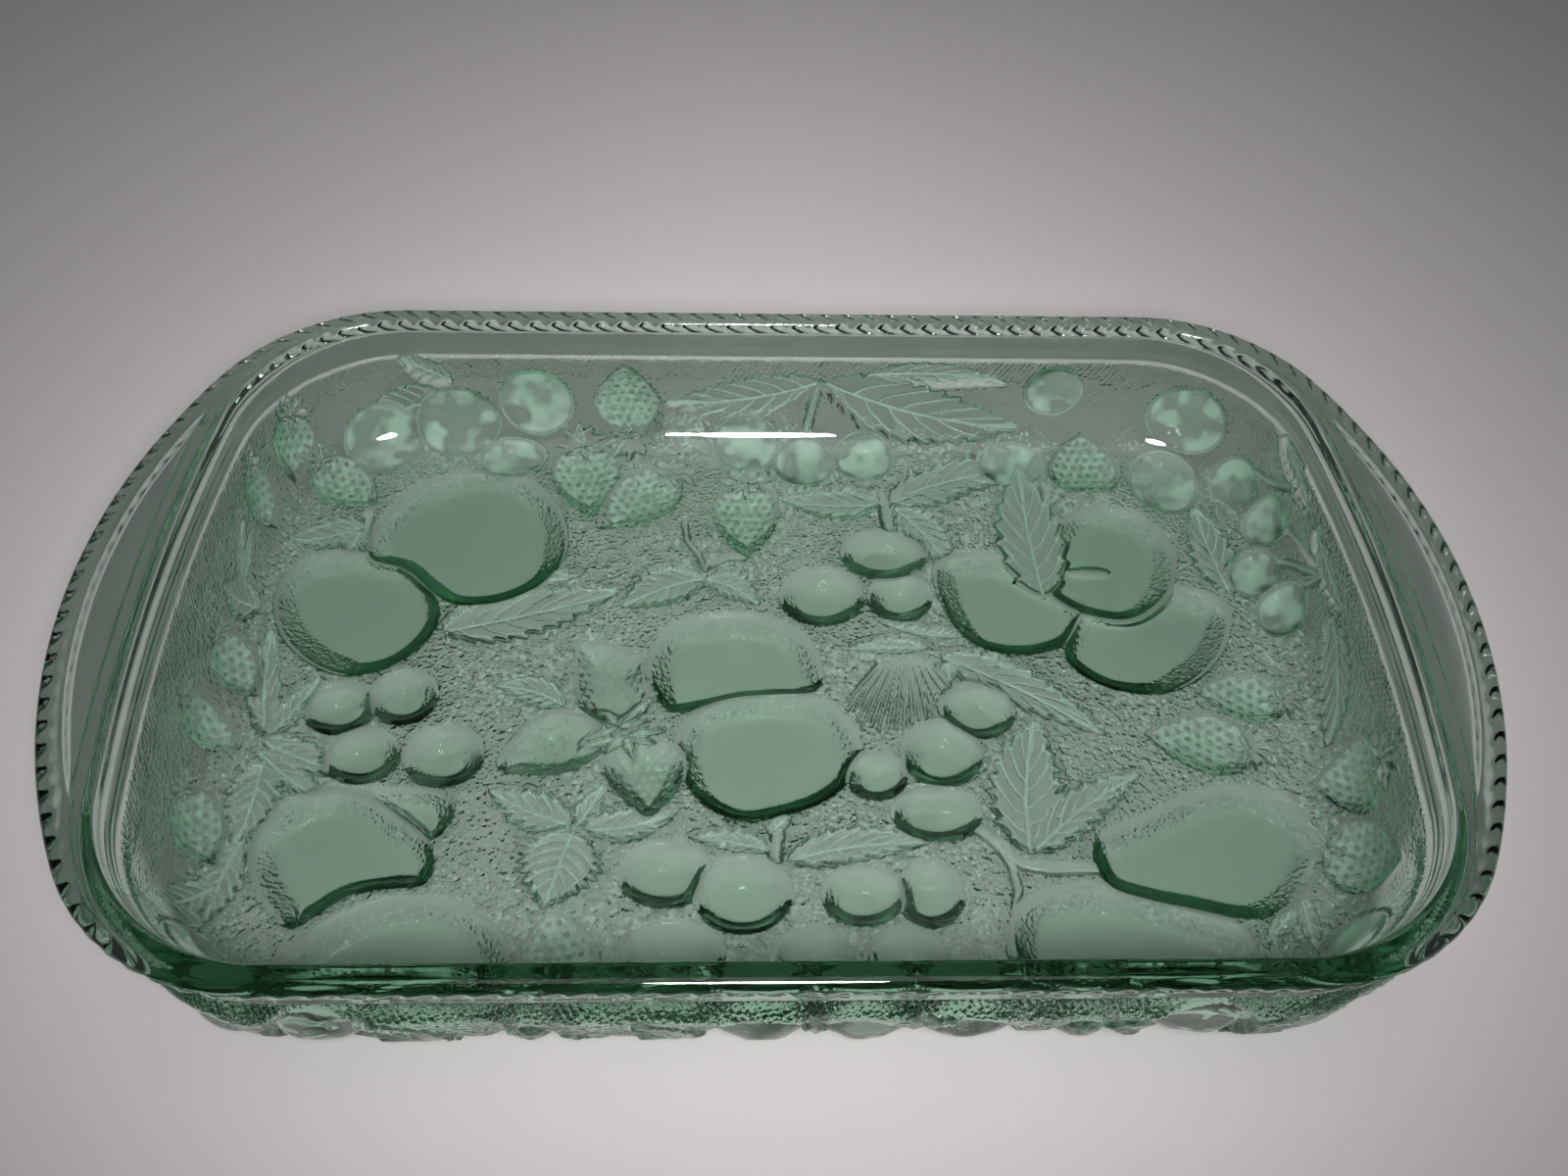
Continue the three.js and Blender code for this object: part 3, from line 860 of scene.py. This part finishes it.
def make_dish(material):
    """The whole skin, with how grainy it is and how much painted highlight it has at each point."""
    base, outward = floor_line.loop()
    edge, edge_out = edge_line.loop()
    rings = inside_rings(base, outward)
    rings += flange_rings(rings[-1][:, :2], edge, edge_out)
    outside, surface = outside_rings(base, outward)
    rings += under_flange_rings(rings[-1], base, outward, edge, outside[0])
    plain = len(rings)
    rings += outside
    points = np.concatenate(rings)
    faces = skin_faces(len(rings), len(base))
    kept, quads, triangles = weld(points, faces)
    piece = make_piece("fruit_dish", points[kept], quads, triangles, material)
    for name, amounts in surface.items():
        values = np.concatenate([np.zeros(plain * len(base)), amounts.ravel()])[kept]
        attribute = piece.data.attributes.new(name, "FLOAT", "POINT")
        attribute.data.foreach_set("value", values.astype(np.float32))
    return piece


# ---------------------------------------------------------------- materials

def nodes_of(material):
    material.use_nodes = True
    tree = material.node_tree
    tree.nodes.clear()
    return tree


def node(tree, kind, sockets=None, **settings):
    """A new node with values on its sockets, by name or number, and its own settings."""
    made = tree.nodes.new(kind)
    for name, value in settings.items():
        setattr(made, name, value)
    for socket, value in (sockets or {}).items():
        made.inputs[socket].default_value = value
    return made


def green_glass():
    """Clear green pressed glass: smooth with a faint wave, grainy where the mould was, and
    less clear and whiter where a painted highlight is marked on the relief.
    """
    material = bpy.data.materials.new("green_glass")
    tree = nodes_of(material)
    link = tree.links.new
    output = node(tree, "ShaderNodeOutputMaterial")
    glass = node(tree, "ShaderNodeBsdfPrincipled",
                 {"Base Color": (0.97, 1.0, 0.985, 1), "IOR": 1.51})
    body = node(tree, "ShaderNodeVolumeAbsorption",
                {"Color": (0.14, 0.60, 0.34, 1), "Density": 37.0})
    place = node(tree, "ShaderNodeTexCoord")
    grain = node(tree, "ShaderNodeAttribute", attribute_name="grain")
    painted_highlight = node(tree, "ShaderNodeAttribute", attribute_name="painted_highlight")
    # Painted highlight: the more painted_highlight, the less light goes through and the more the
    # whitish base colour shows.
    clear = node(tree, "ShaderNodeMapRange", {"To Min": 1.0, "To Max": 0.1})
    link(painted_highlight.outputs["Fac"], clear.inputs["Value"])
    link(clear.outputs["Result"], glass.inputs["Transmission Weight"])

    stipple = node(tree, "ShaderNodeTexVoronoi", {"Scale": 750})
    wave = node(tree, "ShaderNodeTexNoise", {"Scale": 38, "Detail": 1.5})
    wear = node(tree, "ShaderNodeTexNoise", {"Scale": 260, "Detail": 4})
    for texture in (stipple, wave, wear):
        link(place.outputs["Object"], texture.inputs["Vector"])

    grain_bump = node(tree, "ShaderNodeBump", {"Distance": 0.0006})
    link(grain.outputs["Fac"], grain_bump.inputs["Strength"])
    link(stipple.outputs["Distance"], grain_bump.inputs["Height"])
    wave_bump = node(tree, "ShaderNodeBump", {"Strength": 0.5, "Distance": 0.0006})
    link(wave.outputs["Fac"], wave_bump.inputs["Height"])
    link(grain_bump.outputs["Normal"], wave_bump.inputs["Normal"])
    link(wave_bump.outputs["Normal"], glass.inputs["Normal"])

    rough = node(tree, "ShaderNodeMapRange",
                 {"From Min": 0.45, "From Max": 0.75, "To Min": 0.0, "To Max": 0.05})
    link(wear.outputs["Fac"], rough.inputs["Value"])
    total = node(tree, "ShaderNodeMath", {1: 0.08}, operation="MULTIPLY_ADD")
    link(grain.outputs["Fac"], total.inputs[0])
    link(rough.outputs["Result"], total.inputs[2])
    link(total.outputs["Value"], glass.inputs["Roughness"])
    link(glass.outputs["BSDF"], output.inputs["Surface"])
    link(body.outputs["Volume"], output.inputs["Volume"])
    return material


def pale_floor():
    material = bpy.data.materials.new("pale_floor")
    tree = nodes_of(material)
    output = node(tree, "ShaderNodeOutputMaterial")
    surface = node(tree, "ShaderNodeBsdfPrincipled",
                   {"Base Color": (0.56, 0.53, 0.53, 1), "Roughness": 0.85})
    tree.links.new(surface.outputs["BSDF"], output.inputs["Surface"])
    return material


# ---------------------------------------------------------------- the stage

def make_floor():
    half = 3.0
    mesh = bpy.data.meshes.new("floor")
    corners = [(-half, -half, 0), (half, -half, 0), (half, half, 0), (-half, half, 0)]
    mesh.from_pydata(corners, [], [(0, 1, 2, 3)])
    mesh.materials.append(pale_floor())
    floor = bpy.data.objects.new("floor", mesh)
    bpy.context.scene.collection.objects.link(floor)


def look_from(thing, place, target, roll=0.0):
    """Turns a camera or light at place to face target."""
    back = (Vector(place) - Vector(target)).normalized()
    right = Vector((0, 0, 1)).cross(back).normalized()
    up = back.cross(right)
    c, s = math.cos(roll), math.sin(roll)
    right, up = right * c + up * s, up * c - right * s
    turn = Matrix((right, up, back)).transposed().to_4x4()
    thing.matrix_world = Matrix.Translation(place) @ turn


def make_camera():
    """The eye is above the near side and a little to the left, with the camera slightly tilted."""
    azimuth, elevation, roll = -0.054, 0.904, 0.045
    distance, lens = 0.3605, 30.79
    target = Vector((0.0008, -0.0012, HEIGHT * MM))
    back = Vector((math.sin(azimuth) * math.cos(elevation),
                   -math.cos(azimuth) * math.cos(elevation), math.sin(elevation)))
    data = bpy.data.cameras.new("camera")
    data.lens, data.sensor_width = lens, 36
    data.clip_start = 0.01
    camera = bpy.data.objects.new("camera", data)
    bpy.context.scene.collection.objects.link(camera)
    look_from(camera, target + back * distance, target, roll)
    bpy.context.scene.camera = camera


def make_light(name, place, target, size, power, spread=180):
    """A round soft light. spread is the width of its beam, in degrees."""
    data = bpy.data.lights.new(name, "AREA")
    data.shape = "DISK"
    data.size, data.energy, data.spread = size, power, math.radians(spread)
    light = bpy.data.objects.new(name, data)
    bpy.context.scene.collection.objects.link(light)
    look_from(light, Vector(place), Vector(target))


def make_world(strength):
    world = bpy.data.worlds.new("studio")
    world.use_nodes = True
    sky = world.node_tree.nodes["Background"]
    sky.inputs["Color"].default_value = (1, 0.98, 0.97, 1)
    sky.inputs["Strength"].default_value = strength
    bpy.context.scene.world = world


make_camera()
make_floor()
make_world(0.03)
make_light("key", (0, -0.27, 0.40), (0, 0.24, 0.03), 0.12, 1.35, 105)
make_light("overhead", (0, -0.20, 1.3), (0, 0, 0), 0.9, 2.0)
bpy.context.scene.view_settings.view_transform = "Standard"

dish = make_dish(green_glass())
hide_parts(NODE)
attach(dish, "root")
